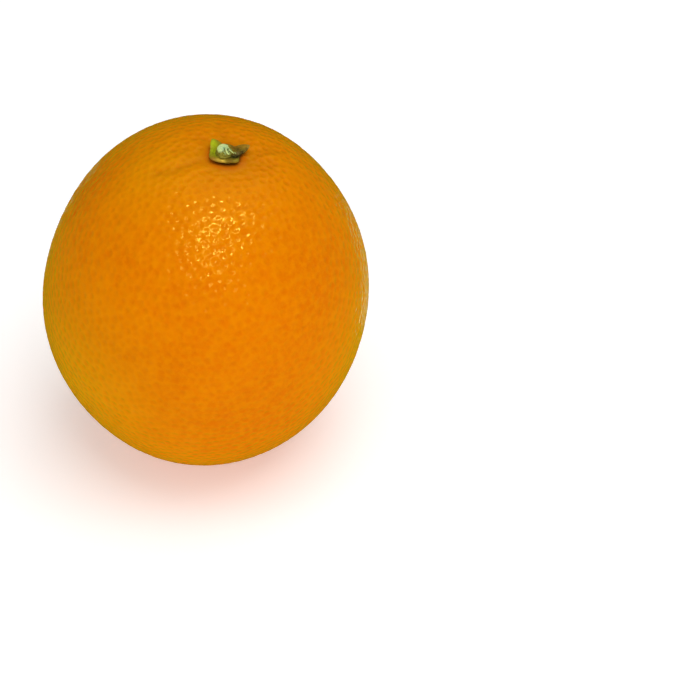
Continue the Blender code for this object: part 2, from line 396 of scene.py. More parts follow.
# The camera, as the photograph was taken: its angle over the table, its distance, and the pixel
# that the fruit's middle falls on.
CAMERA_ELEVATION = radians(40.0)
CAMERA_DISTANCE = 583.0 * MM
CAMERA_LENS = 135.0
CAMERA_SENSOR = 36.0
CAMERA_CLIP = (0.05, 20.0)
PHOTO_SIZE = 700
FRUIT_PIXEL = (206.3, 292.1)

# Studio lights: direction in parts of the camera's right, up and back, width and height in metres,
# power in watts, and whether the gloss mirrors the light or the light shades the fruit.
LIGHT_DISTANCE = 2.0
SOFTBOXES = (
    ("key", (0.20, 0.62, 0.75), (1.6, 1.6), 25.0, False),
    ("front fill", (0.02, -0.30, 0.92), (2.2, 2.2), 13.6, False),
    ("haze", (0.18, 0.82, 0.55), (2.4, 2.4), 5.0, True),
    ("wide strip", (0.14, 0.46, 0.84), (1.50, 0.08), 6.0, True),
    ("bright strip", (0.16, 0.44, 0.84), (0.50, 0.05), 3.6, True),
    ("low strip", (0.10, 0.08, 0.98), (0.80, 0.20), 3.2, True),
)
ROOM_LIGHT = 0.27

# The floor, and two cards on it behind the fruit: corners in millimetres.
FLOOR_WIDTH = 12.0
FLOOR_GLOW = 0.31
FLOOR_ROUGHNESS = 0.9
PAPER = (246, 246, 245)
BRIGHT_PAPER = (249, 249, 248)
CLOUD_LENGTH = 60.0 * MM
CARD_HEIGHT = 0.5 * MM
CARDS = (
    ("right card", ((53, 30), (59, 28), (86, 132), (80, 134))),
    ("left card", ((-53, 60), (-49, 62), (-68, 155), (-72, 153))),
)

# Sockets of a Mix node that blends colours, which share their names with others there.
MIX_FACTOR = 0
MIX_FIRST = 6
MIX_SECOND = 7
MIX_RESULT = 2


def tint(paint):
    """A colour given in screen values from 0 to 255, as the linear colour that a shader takes."""
    shares = [value / 255 for value in paint]
    linear = [((s + 0.055) / 1.055) ** 2.4 if s > 0.04 else s / 12.92 for s in shares]
    return (*linear, 1.0)


class Wire:
    """A number, vector or colour inside a node tree. Arithmetic on it adds the nodes."""

    def __init__(self, bench, socket):
        self.bench = bench
        self.socket = socket

    def __add__(self, other):
        return self.bench.math("ADD", self, other)

    def __radd__(self, other):
        return self.bench.math("ADD", other, self)

    def __sub__(self, other):
        return self.bench.math("SUBTRACT", self, other)

    def __rsub__(self, other):
        return self.bench.math("SUBTRACT", other, self)

    def __mul__(self, other):
        return self.bench.math("MULTIPLY", self, other)

    def __rmul__(self, other):
        return self.bench.math("MULTIPLY", other, self)

    def __truediv__(self, other):
        return self.bench.math("DIVIDE", self, other)

    def __rtruediv__(self, other):
        return self.bench.math("DIVIDE", other, self)

    def __mod__(self, other):
        return self.bench.math("FLOORED_MODULO", self, other)

    def __neg__(self):
        return self.bench.math("MULTIPLY", self, -1.0)


class Bench:
    """Adds nodes to one tree."""

    def __init__(self, tree):
        self.tree = tree

    def add(self, kind, settings=None, sockets=None, output=0):
        """One node: its settings first, then the values or links of its sockets."""
        node = self.tree.nodes.new(kind)
        for name, value in (settings or {}).items():
            setattr(node, name, value)
        for key, value in (sockets or {}).items():
            self.feed(node.inputs[key], value)
        return Wire(self, node.outputs[output])

    def feed(self, socket, value):
        """Link a wire to a socket, or set the socket's own value."""
        if isinstance(value, Wire):
            self.tree.links.new(value.socket, socket)
        else:
            socket.default_value = value

    def math(self, operation, *values):
        """Math on numbers, or Vector Math where a value is a vector."""
        vectors = [isinstance(v, Wire) and v.socket.type == "VECTOR" for v in values]
        if not any(vectors):
            return self.add("ShaderNodeMath", {"operation": operation}, dict(enumerate(values)))
        if operation == "MULTIPLY" and not all(vectors):
            vector, factor = values if vectors[0] else values[::-1]
            sockets = {0: vector, "Scale": factor}
            return self.add("ShaderNodeVectorMath", {"operation": "SCALE"}, sockets)
        return self.vector(operation, *values)

    def vector(self, operation, *values, output=0):
        """One Vector Math node."""
        settings = {"operation": operation}
        return self.add("ShaderNodeVectorMath", settings, dict(enumerate(values)), output)

    def split(self, vector):
        """The three parts of a vector."""
        node = self.add("ShaderNodeSeparateXYZ", None, {0: vector}).socket.node
        return [Wire(self, socket) for socket in node.outputs]

    def smooth_step(self, low, high, value):
        """0 below low, 1 above high, and a smooth rise between."""
        sockets = {"Value": value, "From Min": low, "From Max": high}
        return self.add("ShaderNodeMapRange", {"interpolation_type": "SMOOTHSTEP"}, sockets)

    def bell(self, value):
        """A bell curve: 1 at zero, falling off on both sides."""
        return self.math("EXPONENT", -(value * value))

    def noise(self, place, length, detail=2.0, roughness=0.5):
        """Soft noise from 0 to 1 whose lumps are about a length across."""
        sockets = {"Vector": place, "Scale": 1.0 / length, "Detail": detail, "Roughness": roughness}
        return self.add("ShaderNodeTexNoise", None, sockets)

    def blotches(self, place, length, low, high, detail, roughness):
        """Noise as blotches: 0 where it is below the low level, 1 above the high one."""
        return self.smooth_step(low, high, self.noise(place, length, detail, roughness))

    def blend(self, factor, one, other):
        """One colour turning into another as the factor goes from 0 to 1."""
        sockets = {MIX_FACTOR: factor, MIX_FIRST: one, MIX_SECOND: other}
        return self.add("ShaderNodeMix", {"data_type": "RGBA"}, sockets, MIX_RESULT)


def heading(azimuth, polar):
    """Unit vector at an azimuth round the stem axis and a polar angle from it."""
    return Vector((sin(polar) * cos(azimuth), sin(polar) * sin(azimuth), cos(polar)))


def lean_matrix():
    """The turn that leans the stem axis to its side."""
    return Matrix.Rotation(LEAN, 4, Vector((-sin(LEAN_AZIMUTH), cos(LEAN_AZIMUTH), 0.0)))


def patch(bench, direction, azimuth, polar, breadth, strength):
    """A soft round patch of the skin: its full strength in the middle, less all round. In degrees."""
    middle = heading(radians(azimuth), radians(polar))
    away = bench.math("ARCCOSINE", bench.vector("DOT_PRODUCT", direction, middle, output="Value"))
    return bench.bell(away / radians(breadth)) * strength


def off_stem(bench, place):
    """Distance of a place from the stem's axis."""
    x, y = bench.split(place)[:2]
    return bench.math("SQRT", x * x + y * y)


def furrow_field(bench, azimuth, off_axis):
    """Depth of the furrows round the stem."""
    wander = FURROW_WANDER * bench.math("SINE", off_axis * (2 * pi / FURROW_WANDER_LENGTH))
    start = bench.smooth_step(FURROW_START, FURROW_START + FURROW_FADE, off_axis)
    total = 0.0
    for degrees_round, end, depth in FURROWS:
        turn = (azimuth - wander + (pi - radians(degrees_round))) % (2 * pi) - pi
        across = bench.bell(off_axis * turn / FURROW_WIDTH)
        along = 1.0 - bench.smooth_step(end - FURROW_FADE, end, off_axis)
        total = across * along * depth + total
    return total * start


def scar_field(bench, off_axis):
    """Depth of the dip and the crater at the blossom end."""
    dip = bench.bell(off_axis / SCAR_DIP_RADIUS) * SCAR_DIP_DEPTH
    crater = (1.0 - bench.smooth_step(SCAR_RADIUS - SCAR_EDGE, SCAR_RADIUS, off_axis)) * SCAR_DEPTH
    return dip + crater


def reach_field(bench, direction, size):
    """Distance from the fruit's middle to its smooth skin, and the furrows' depth there."""
    x, y, z = bench.split(direction)
    side = (1.0 - z * z) / (size["Equator Radius"] * size["Equator Radius"])
    end = z * z / (size["Pole Radius"] * size["Pole Radius"])
    reach = 1.0 / bench.math("SQRT", side + end)
    off_axis = reach * bench.math("SQRT", 1.0 - z * z)
    for swell in SWELLS:
        reach = patch(bench, direction, *swell) + reach
    polar = bench.math("ARCCOSINE", z)
    reach = reach - bench.bell(polar / size["Stem Dip Spread"]) * size["Stem Dip Depth"]
    top = bench.math("GREATER_THAN", z, 0.0)
    furrows = furrow_field(bench, bench.math("ARCTAN2", y, x), off_axis) * top
    scar = scar_field(bench, off_axis) * (1.0 - top)
    return reach - furrows - scar - SKIN_INSET, furrows


def pit_bowl(bench, place, gland, radius):
    """How deep a place lies in the pit of one gland: 0 outside it, 1 in the middle of the deepest."""
    draw = bench.add("ShaderNodeTexWhiteNoise", {"noise_dimensions": "3D"}, {"Vector": gland})
    girth = LEAST_GIRTH + GIRTH_SPREAD * draw
    depth = LEAST_DEPTH + DEPTH_SPREAD * bench.math("FRACT", draw * SECOND_DRAW)
    share = bench.vector("DISTANCE", place, gland, output="Value") / (girth * radius)
    return (1.0 - bench.smooth_step(PIT_FLOOR, 1.0, share)) * depth


def pitted_share(bench, off_axis):
    """How deep the pits are at a distance from the stem: 0 at the calyx, 1 further out."""
    return bench.smooth_step(CLEAR_RADIUS, PITTED_RADIUS, off_axis)


def node_tree(name, sizes):
    """A Geometry Nodes tree with a named input for each size. Returns its bench and the inputs."""
    tree = bpy.data.node_groups.new(name, "GeometryNodeTree")
    for label, value in sizes.items():
        kind = "NodeSocketInt" if isinstance(value, int) else "NodeSocketFloat"
        tree.interface.new_socket(label, in_out="INPUT", socket_type=kind)
    tree.interface.new_socket("Finish", in_out="INPUT", socket_type="NodeSocketMaterial")
    tree.interface.new_socket("Mesh", in_out="OUTPUT", socket_type="NodeSocketGeometry")
    bench = Bench(tree)
    entry = tree.nodes.new("NodeGroupInput")
    return bench, {socket.name: Wire(bench, socket) for socket in entry.outputs if socket.name}


def store(bench, mesh, name, value, kind, domain):
    """Keep a value in the mesh under a name, where a material can read it."""
    settings = {"data_type": kind, "domain": domain}
    sockets = {"Geometry": mesh, "Name": name, "Value": value}
    return bench.add("GeometryNodeStoreNamedAttribute", settings, sockets)


def even_ball(bench, place, rows):
    """A cube of even squares blown up to a ball with a radius of 1."""
    sockets = {"Size": (2.0, 2.0, 2.0), "Vertices X": rows, "Vertices Y": rows, "Vertices Z": rows}
    cube = bench.add("GeometryNodeMeshCube", None, sockets)
    round_place = bench.vector("NORMALIZE", bench.vector("TANGENT", place * (pi / 4)))
    return bench.add("GeometryNodeSetPosition", None, {"Geometry": cube, "Position": round_place})


def nearest_gland(bench, skin, place, size):
    """Place of the oil gland nearest to each point, the glands scattered evenly over the skin."""
    sockets = {
        "Mesh": skin,
        "Distance Min": size["Pit Spacing"],
        "Density Max": GLAND_TRIES,
        "Seed": size["Pit Seed"],
    }
    settings = {"distribute_method": "POISSON"}
    glands = bench.add("GeometryNodeDistributePointsOnFaces", settings, sockets)
    nearest = bench.add("GeometryNodeSampleNearest", {"domain": "POINT"}, {"Geometry": glands})
    settings = {"data_type": "FLOAT_VECTOR", "domain": "POINT"}
    sockets = {"Geometry": glands, "Value": place, "Index": nearest}
    return bench.add("GeometryNodeSampleIndex", settings, sockets)


def gland_name(corner):
    """Name of the attribute that holds the gland nearest to one corner of each face."""
    return f"gland_{corner + 1}"


def at_corner(bench, value, corner):
    """A value of the points, read at one corner of each face."""
    picked = bench.add("GeometryNodeCornersOfFace", None, {"Sort Index": corner})
    point = bench.add("GeometryNodeVertexOfCorner", None, {"Corner Index": picked})
    settings = {"data_type": "FLOAT_VECTOR", "domain": "POINT"}
    return bench.add("GeometryNodeFieldAtIndex", settings, {"Value": value, "Index": point})


def peel_tree():
    """A ball of even squares moved out to the skin, then pressed in at every oil gland."""
    bench, size = node_tree("pitted peel", PEEL_SIZES)
    place = bench.add("GeometryNodeInputPosition")
    mesh = even_ball(bench, place, size["Rows"])
    reach, furrows = reach_field(bench, place, size)
    mesh = store(bench, mesh, "furrow", furrows / DEEPEST_FURROW, "FLOAT", "POINT")
    mesh = bench.add("GeometryNodeSetPosition", None, {"Geometry": mesh, "Position": place * reach})

    gland = nearest_gland(bench, mesh, place, size)
    for corner in range(FACE_CORNERS):
        corner_gland = at_corner(bench, gland, corner)
        mesh = store(bench, mesh, gland_name(corner), corner_gland, "FLOAT_VECTOR", "FACE")
    pit = pit_bowl(bench, place, gland, size["Pit Radius"]) * pitted_share(bench, off_stem(bench, place))
    ripple = (bench.noise(place, RIPPLE_LENGTH, 3.0) - 0.5) * RIPPLE_HEIGHT
    offset = bench.vector("NORMALIZE", place) * -(pit * size["Pit Depth"] + ripple)
    mesh = bench.add("GeometryNodeSetPosition", None, {"Geometry": mesh, "Offset": offset})

    mesh = bench.add("GeometryNodeSetShadeSmooth", None, {"Geometry": mesh, "Shade Smooth": True})
    mesh = bench.add("GeometryNodeRealizeInstances", None, {"Geometry": mesh})
    mesh = bench.add("GeometryNodeSetMaterial", None, {"Geometry": mesh, "Material": size["Finish"]})
    leave = bench.tree.nodes.new("NodeGroupOutput")
    bench.feed(leave.inputs["Mesh"], mesh)
    return bench.tree


def grow(name, tree, sizes, finish):
    """Run a Geometry Nodes tree and keep the result as a plain mesh object."""
    piece = bpy.data.objects.new(name, bpy.data.meshes.new(name))
    bpy.context.scene.collection.objects.link(piece)
    modifier = piece.modifiers.new("shape", "NODES")
    modifier.node_group = tree
    wanted = {**sizes, "Finish": finish}
    for item in tree.interface.items_tree:
        if item.in_out == "INPUT":
            modifier[item.identifier] = wanted[item.name]
    seen = piece.evaluated_get(bpy.context.evaluated_depsgraph_get())
    mesh = bpy.data.meshes.new_from_object(seen)
    piece.modifiers.remove(modifier)
    piece.data = mesh
    return piece


def stand_fruit(piece):
    """Lean the peel, flatten its foot and set it where the solid stands. Returns its middle's place."""
    mesh = piece.data
    mesh.transform(lean_matrix())
    points = np.empty(len(mesh.vertices) * 3, np.float32)
    mesh.vertices.foreach_get("co", points)
    points = points.reshape(-1, 3)
    foot = points[:, 2].min() + FOOT_RADIUS ** 2 * POLE_RADIUS / (2 * EQUATOR_RADIUS ** 2)
    points[:, 2] = np.maximum(points[:, 2], foot)
    low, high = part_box("fruit")
    middle = (points.min(axis=0) + points.max(axis=0)) / 2
    move = Vector(((low.x + high.x) / 2 - middle[0], (low.y + high.y) / 2 - middle[1], -foot))
    points += np.array(move, np.float32)
    mesh.vertices.foreach_set("co", points.ravel())
    mesh.update()
    return move


def smooth_step(low, high, value):
    """0 below low, 1 above high, and a smooth rise between."""
    share = min(1.0, max(0.0, (value - low) / (high - low)))
    return share * share * (3.0 - 2.0 * share)


def bell(value):
    """A bell curve: 1 at zero, falling off on both sides."""
    return exp(-(value * value))


def lumps(x, y, length, level, height):
    """Smooth noise about a height up and down, whose lumps are about a length across."""
    return noise.noise(Vector((x, y, level)) / length) * height


def seat_height(x, y):
    """Height of the smooth skin over the fruit's middle near the stem, the furrows left out."""
    direction = Vector((x, y, POLE_RADIUS - STEM_DIP_DEPTH)).normalized()
    side = (1.0 - direction.z ** 2) / EQUATOR_RADIUS ** 2
    reach = 1.0 / sqrt(side + direction.z ** 2 / POLE_RADIUS ** 2)
    reach -= STEM_DIP_DEPTH * bell(direction.angle(UP) / STEM_DIP_SPREAD)
    return reach * direction.z


def sepal_shape(azimuth):
    """Reach and lift of the calyx's rim at an azimuth, and how near that is to a sepal's midrib."""
    reach = CALYX_RADIUS
    lift = 0.0
    rib = 0.0
    for degrees_round, half_width, length, tip_lift in SEPALS:
        turn = (azimuth - radians(degrees_round) + pi) % (2 * pi) - pi
        share = max(0.0, 1.0 - abs(turn) / radians(half_width))
        lobe = share ** SEPAL_TAPER * (1.0 + SEPAL_BULGE * (1.0 - share))
        reach += length * lobe
        lift += tip_lift * lobe
        rib = max(rib, bell(turn / RIB_WIDTH))
    return reach, lift, rib


def calyx_relief(x, y, share):
    """How far the calyx's upper side stands proud, at a place some share of the way to its edge."""
    off_stub = hypot(x - STUB_OFFSET.x, y - STUB_OFFSET.y)
    height = RIM_HEIGHT * bell((share - RIM_PLACE) / RIM_BREADTH)
    height -= GROOVE_DEPTH * bell((off_stub - STUB_BASE_RADIUS - GROOVE_WIDTH) / GROOVE_WIDTH)
    for azimuth, off_axis, breadth, lump in CALYX_LUMPS:
        spot = Vector((cos(radians(azimuth)), sin(radians(azimuth)))) * off_axis
        height += lump * bell(hypot(x - spot.x, y - spot.y) / breadth)
    return height


def calyx_point(ball_point):
    """Where a point of a ball with a radius of 1 lies on the calyx, from the fruit's middle."""
    azimuth = atan2(ball_point.y, ball_point.x)
    out_share = ball_point.xy.length
    reach, lift, rib = sepal_shape(azimuth)
    out = (reach - CALYX_INSET) * out_share
    x = out * cos(azimuth)
    y = out * sin(azimuth)
    rise = lift * smooth_step(CALYX_SEAT_RADIUS, reach, out)
    middle = seat_height(x, y) + GAP + 0.5 * CALYX_THICKNESS + rise
    edge = smooth_step(EDGE_START, 1.0, out_share)
    half = 0.5 * CALYX_THICKNESS * abs(ball_point.z) ** EDGE_FULLNESS
    half *= 1.0 - EDGE_THINNING * edge * min(1.0, lift / MM)
    wrinkle = lumps(x, y, *WRINKLES)
    if ball_point.z <= 0:
        return Vector((x, y, middle - half + UNDERSIDE_WRINKLES * wrinkle))
    raised = RIB_HEIGHT * rib * edge + calyx_relief(x, y, out / reach)
    relief = (raised + wrinkle + lumps(x, y, *CREASES)) * (1.0 - edge ** 8)
    return Vector((x, y, middle + half + relief))


def add_piece(bm, name, finish, place):
    """A finished bmesh as an object at the origin, its place in its mesh."""
    bmesh.ops.recalc_face_normals(bm, faces=bm.faces)
    mesh = bpy.data.meshes.new(name)
    bm.to_mesh(mesh)
    bm.free()
    mesh.transform(place)
    mesh.shade_smooth()
    mesh.materials.append(finish)
    piece = bpy.data.objects.new(name, mesh)
    bpy.context.scene.collection.objects.link(piece)
    return piece


def build_calyx(finish, place):
    """The five-sepal cup: ribbed, wrinkled lobes with thin edges that stand off the peel."""
    bm = bmesh.new()
    bmesh.ops.create_uvsphere(bm, u_segments=CALYX_SEGMENTS, v_segments=CALYX_RINGS, radius=1.0)
    for vert in bm.verts:
        vert.co = calyx_point(vert.co)
    return add_piece(bm, "calyx_cup", finish, place)


def tear_at(x, y):
    """How far a place on the stub lies in the torn side: 0 on the clean cut, 1 well inside the tear."""
    towards = (x * cos(TEAR_AZIMUTH) + y * sin(TEAR_AZIMUTH)) / STUB_TOP_RADIUS
    return smooth_step(TEAR_START, TEAR_START + TEAR_WIDTH, towards + lumps(x, y, *RAGGED_EDGE))


def stub_profile():
    """Radius and height of the stub's outline from its buried root to the middle of the cut."""
    profile = [(STUB_BASE_RADIUS + flare, height) for flare, height in STUB_ROOT]
    narrowing = STUB_TOP_RADIUS - STUB_BASE_RADIUS
    for share in STUB_SIDE:
        profile.append((STUB_BASE_RADIUS + narrowing * share, STUB_HEIGHT * share))
    for inset, drop in CUT_EDGE:
        profile.append((STUB_TOP_RADIUS - inset, STUB_HEIGHT - drop))
    cut_radius = profile[-1][0]
    for ring in range(1, CUT_RINGS):
        profile.append((cut_radius * (1.0 - ring / CUT_RINGS), STUB_HEIGHT - CUT_DISH))
    return profile


def side_noise(azimuth, turns, share, level):
    """Noise round the stub's side, as a share of its radius."""
    return noise.noise(Vector((turns * cos(azimuth), turns * sin(azimuth), level))) * share


def stub_point(radius, height, azimuth):
    """Place of a point of the stub's outline, and how light it is: 1 on freshly cut wood, 0 deep in the
    tear, its dark partly painted shade.
    """
    swell = side_noise(azimuth, *SIDE_SWELL, SIDE_SWELL_LEVEL)
    grain = side_noise(azimuth, *SIDE_GRAIN, height / SIDE_GRAIN_LENGTH)
    wide = radius * (1.0 + swell + grain)
    x = wide * cos(azimuth)
    y = wide * sin(azimuth)
    high = smooth_step(SIDE_KEPT * STUB_HEIGHT, STUB_HEIGHT, height)
    tear = tear_at(x, y) * high
    fibre = lumps(x, y, TORN_FIBRE_LENGTH, 0.0, 1.0)
    drop = tear * (TEAR_DEPTH + TORN_FIBRE_HEIGHT * fibre)
    rough = high * lumps(x, y, *CUT_GRAIN)
    # Darker where the tear lies deeper: partly painted shade.
    light = 1.0 - tear * smooth_step(-DARK_SPREAD, DARK_SPREAD, fibre)
    return Vector((x, y, height + rough - drop - STUB_SINK)), light


def join_rings(bm, rings):
    """Faces between neighbouring rings of points, and one across each end."""
    count = len(rings[0])
    for lower, upper in zip(rings, rings[1:]):
        for step in range(count):
            following = (step + 1) % count
            bm.faces.new((lower[step], lower[following], upper[following], upper[step]))
    bm.faces.new(rings[-1])
    bm.faces.new(rings[0])


def add_splinter(bm, light, degrees_round, high_end, low_end, thickness, brightness):
    """One torn splinter: a bent sliver from its upper end down and outwards to its lower end."""
    azimuth = radians(degrees_round)
    outward = Vector((cos(azimuth), sin(azimuth), 0.0))
    aside = UP.cross(outward)
    wave_start, wave_span = SPLINTER_WAVE
    rings = []
    for step in range(SPLINTER_STEPS):
        share = step / (SPLINTER_STEPS - 1)
        reach = high_end[0] + (low_end[0] - high_end[0]) * share
        height = high_end[1] + (low_end[1] - high_end[1]) * share ** SPLINTER_SAG
        bend = noise.noise(Vector((share * SPLINTER_BENDS, azimuth, 1.0)))
        middle = outward * reach + UP * height + aside * (bend * SPLINTER_SWAY * thickness)
        fullness = sin(pi * (wave_start + wave_span * share))
        girth = thickness * (SPLINTER_TIP + (1.0 - SPLINTER_TIP) * fullness)
        ring = []
        for side in range(SPLINTER_SIDES):
            turn = 2 * pi * side / SPLINTER_SIDES
            spoke = UP * cos(turn) * SPLINTER_FLATNESS + aside * sin(turn)
            vert = bm.verts.new(middle + spoke * girth)
            vert[light] = brightness
            ring.append(vert)
        rings.append(ring)
    join_rings(bm, rings)


def build_stub(finish, place):
    """The cut stem: a short peg with a clean cut on one side and torn fibres on the other."""
    bm = bmesh.new()
    light = bm.verts.layers.float.new("fresh unshaded wood")
    rings = []
    for radius, height in stub_profile():
        ring = []
        for step in range(STUB_SEGMENTS):
            point, brightness = stub_point(radius, height, 2 * pi * step / STUB_SEGMENTS)
            vert = bm.verts.new(point)
            vert[light] = brightness
            ring.append(vert)
        rings.append(ring)
    join_rings(bm, rings)
    for splinter in SPLINTERS:
        add_splinter(bm, light, *splinter)
    tilt = Matrix.Rotation(STUB_TILT, 4, UP.cross(STUB_OFFSET))
    calyx_top = seat_height(0.0, 0.0) + GAP + CALYX_THICKNESS
    rise = GAP + STUB_BASE_RADIUS * sin(STUB_TILT)
    stand = Matrix.Translation(STUB_OFFSET + UP * (calyx_top + rise))
    return add_piece(bm, "stem_end", finish, place @ stand @ tilt)


def open_material(material):
    """Give a material its Principled shader. Returns its bench and the shader node."""
    material.use_nodes = True
    return Bench(material.node_tree), material.node_tree.nodes["Principled BSDF"]


def fruit_place(bench, middle):
    """Object coordinates turned into the fruit's own frame: its middle at zero, its stem upwards."""
    where = bench.add("ShaderNodeTexCoord", output="Object")
    sockets = {"Vector": where, "Location": middle, "Rotation": lean_matrix().to_euler()}
    return bench.add("ShaderNodeMapping", {"vector_type": "TEXTURE"}, sockets)


def add_fine_grain(bench, shader, place, length):
    """Fine grain in a matt finish."""
    height = bench.noise(place, length, 3.0)
    sockets = {"Strength": FINE_GRAIN_STRENGTH, "Distance": FINE_GRAIN_DEPTH, "Height": height}
    bench.feed(shader.inputs["Normal"], bench.add("ShaderNodeBump", None, sockets))


def peel_colour(bench, place, pit):
    """The rind's mottled orange, with pits and furrows darker as painted shade, yellower patches that are
    partly painted reflection, highlight and gloss haze, redder patches of painted shade, an olive ring at
    the stem with painted shade round the calyx, and a brown scar.
    """
    direction = bench.vector("NORMALIZE", place)
    colour = bench.blend(bench.blotches(place, *RIND_BLOTCHES), tint(RIND), tint(BRIGHT_RIND))
    yellow = 0.0
    # Yellower patches: partly the rind's own tone, partly painted reflection, highlight and gloss haze.
    for spot in YELLOW_AND_PAINTED_GLOSS_PATCHES:
        yellow = patch(bench, direction, *spot) + yellow
    colour = bench.blend(yellow, colour, tint(YELLOW_RIND_AND_PAINTED_GLOSS))
    # Painted shade: redder, darker patches.
    for spot in PAINTED_SHADE_PATCHES:
        colour = bench.blend(patch(bench, direction, *spot), colour, tint(PAINTED_SHADE_RED))
    mottle = bench.blotches(place, *MOTTLE)
    colour = bench.blend(mottle * MOTTLE_STRENGTH, colour, tint(PALE_MOTTLE))
    # Painted shade in the pits and furrows, the pits partly also the glands' deeper orange.
    colour = bench.blend(pit * PIT_STRENGTH, colour, tint(PIT_SHADE))
    furrow = bench.add("ShaderNodeAttribute", {"attribute_name": "furrow"}, output="Fac")
    colour = bench.blend(furrow * FURROW_STRENGTH, colour, tint(FURROW_SHADE))

    off_axis = off_stem(bench, place)
    top = bench.math("GREATER_THAN", bench.split(place)[2], 0.0)
    # Round the stem, rings of painted shade as well as the olive tint.
    for half, rings in ((top, STEM_TINT_AND_SHADE_RINGS), (1.0 - top, SCAR_RINGS)):
        for fade, end, strength, paint in rings:
            ring = (1.0 - bench.smooth_step(fade, end, off_axis)) * half
            colour = bench.blend(ring * strength, colour, tint(paint))
    return colour


def paint_peel(material, middle):
    """Waxy orange rind over round pits, each drawn from the glands nearest to the face's corners."""
    bench, shader = open_material(material)
    place = fruit_place(bench, middle)
    bowl = 0.0
    for corner in range(FACE_CORNERS):
        settings = {"attribute_name": gland_name(corner)}
        gland = bench.add("ShaderNodeAttribute", settings, output="Vector")
        bowl = bench.math("MAXIMUM", pit_bowl(bench, place, gland, PIT_RADIUS), bowl)
    pit = bowl * pitted_share(bench, off_stem(bench, place))
    bench.feed(shader.inputs["Base Color"], peel_colour(bench, place, pit))

    wax = bench.noise(place, WAX_LENGTH, 2.0)
    bench.feed(shader.inputs["Roughness"], WAX_ROUGHNESS + WAX_UNEVENNESS * wax)
    pebbles = bench.noise(place, PEBBLE_LENGTH, 1.0)
    grain = bench.noise(place, GRAIN_LENGTH, 2.0)
    relief = pebbles * (PEBBLE_HEIGHT / MM) + grain * (GRAIN_HEIGHT / MM) - pit * (PIT_RELIEF / MM)
    bump = bench.add("ShaderNodeBump", None, {"Strength": 1.0, "Distance": MM, "Height": relief})
    bench.feed(shader.inputs["Normal"], bump)
    for name, value in PEEL_GLOSS.items():
        shader.inputs[name].default_value = value
    shader.inputs["Specular Tint"].default_value = tint(GLINT_COLOUR)
    shader.inputs["Sheen Tint"].default_value = tint(SHEEN_COLOUR)


def calyx_material(middle):
    """Sepals from fresh yellow-green to dark olive, with tan edges and dry tips, a painted highlight on
    the front rim and painted shade in the hollows, the groove and under the right sepal.
    """
    material = bpy.data.materials.new("calyx green")
    bench, shader = open_material(material)
    place = fruit_place(bench, middle)
    x, y = bench.split(place)[:2]
    speckle = bench.blotches(place, *SPECKLE)
    colour = bench.blend(speckle, tint(SEPAL_BROWN), tint(SEPAL_DARK))
    # Some of these patches are painted highlight and shade.
    for azimuth, distance, breadth, strength, paint in CALYX_TONE_AND_PAINTED_LIGHT_PATCHES:
        side_x = x - distance * cos(radians(azimuth))
        side_y = y - distance * sin(radians(azimuth))
        near = bench.math("EXPONENT", (side_x * side_x + side_y * side_y) * (-1.0 / breadth ** 2))
        colour = bench.blend(near * strength, colour, tint(paint))
    colour = bench.blend(bench.blotches(place, *FIBRE) * FIBRE_STRENGTH, colour, tint(FIBRE_COLOUR))
    tip = bench.smooth_step(TIP_START, TIP_END, off_stem(bench, place))
    colour = bench.blend(tip * TIP_STRENGTH, colour, tint(TIP_COLOUR))
    bench.feed(shader.inputs["Base Color"], colour)
    bench.feed(shader.inputs["Roughness"], CALYX_ROUGHNESS + SPECKLE_ROUGHNESS * speckle)
    add_fine_grain(bench, shader, place, CALYX_GRAIN_LENGTH)
    shader.inputs["Specular IOR Level"].default_value = CALYX_SPECULAR
    return material


def stub_material(middle):
    """A freshly cut stem: pale green wood, dark green in the tear and darker where it lies deeper, partly
    painted shade, an olive bark edge with streaks.
    """
    material = bpy.data.materials.new("cut stem")
    bench, shader = open_material(material)
    place = fruit_place(bench, middle)
    from_axis = place - STUB_OFFSET
    off_axis = off_stem(bench, from_axis)
    wood = bench.blend(bench.blotches(place, *WOOD_RINGS), tint(WOOD_YELLOW), tint(WOOD_GREEN))
    rind = bench.smooth_step(*RIND_WOOD_RADII, off_axis)
    wood = bench.blend(rind * RIND_WOOD_STRENGTH, wood, tint(RIND_WOOD))
    pith = 1.0 - bench.smooth_step(*PITH_RADII, off_axis)
    wood = bench.blend(pith * PITH_STRENGTH, wood, tint(PITH))
    fresh = bench.add("ShaderNodeAttribute", {"attribute_name": "fresh unshaded wood"}, output="Fac")
    # The torn wood's darkness is partly painted shade.
    wood = bench.blend(fresh, tint(TORN_WOOD_AND_SHADE), wood)
    streaks = bench.blotches(place, *BARK_STREAKS)
    bark = bench.blend(streaks, tint(BARK_LIGHT), tint(BARK_DARK))
    stub_foot = seat_height(0.0, 0.0) + GAP + CALYX_THICKNESS + GAP
    height = (bench.split(place)[2] - stub_foot) / STUB_HEIGHT
    colour = bench.blend(bench.smooth_step(*BARK_HEIGHTS, height), bark, wood)
    bench.feed(shader.inputs["Base Color"], colour)
    bench.feed(shader.inputs["Roughness"], STUB_ROUGHNESS + STREAK_ROUGHNESS * streaks)
    add_fine_grain(bench, shader, place, STUB_GRAIN_LENGTH)
    shader.inputs["Specular IOR Level"].default_value = STUB_SPECULAR
    return material


def paper_material():
    """Plain off-white paper, a little uneven."""
    material = bpy.data.materials.new("pale paper")
    bench, shader = open_material(material)
    where = bench.add("ShaderNodeTexCoord", output="Object")
    cloud = bench.noise(where, CLOUD_LENGTH, 2.0)
    bench.feed(shader.inputs["Base Color"], bench.blend(cloud, tint(PAPER), tint(BRIGHT_PAPER)))
    shader.inputs["Roughness"].default_value = FLOOR_ROUGHNESS
    shader.inputs["Specular IOR Level"].default_value = 0.0
    shader.inputs["Emission Color"].default_value = WHITE
    shader.inputs["Emission Strength"].default_value = FLOOR_GLOW
    return material


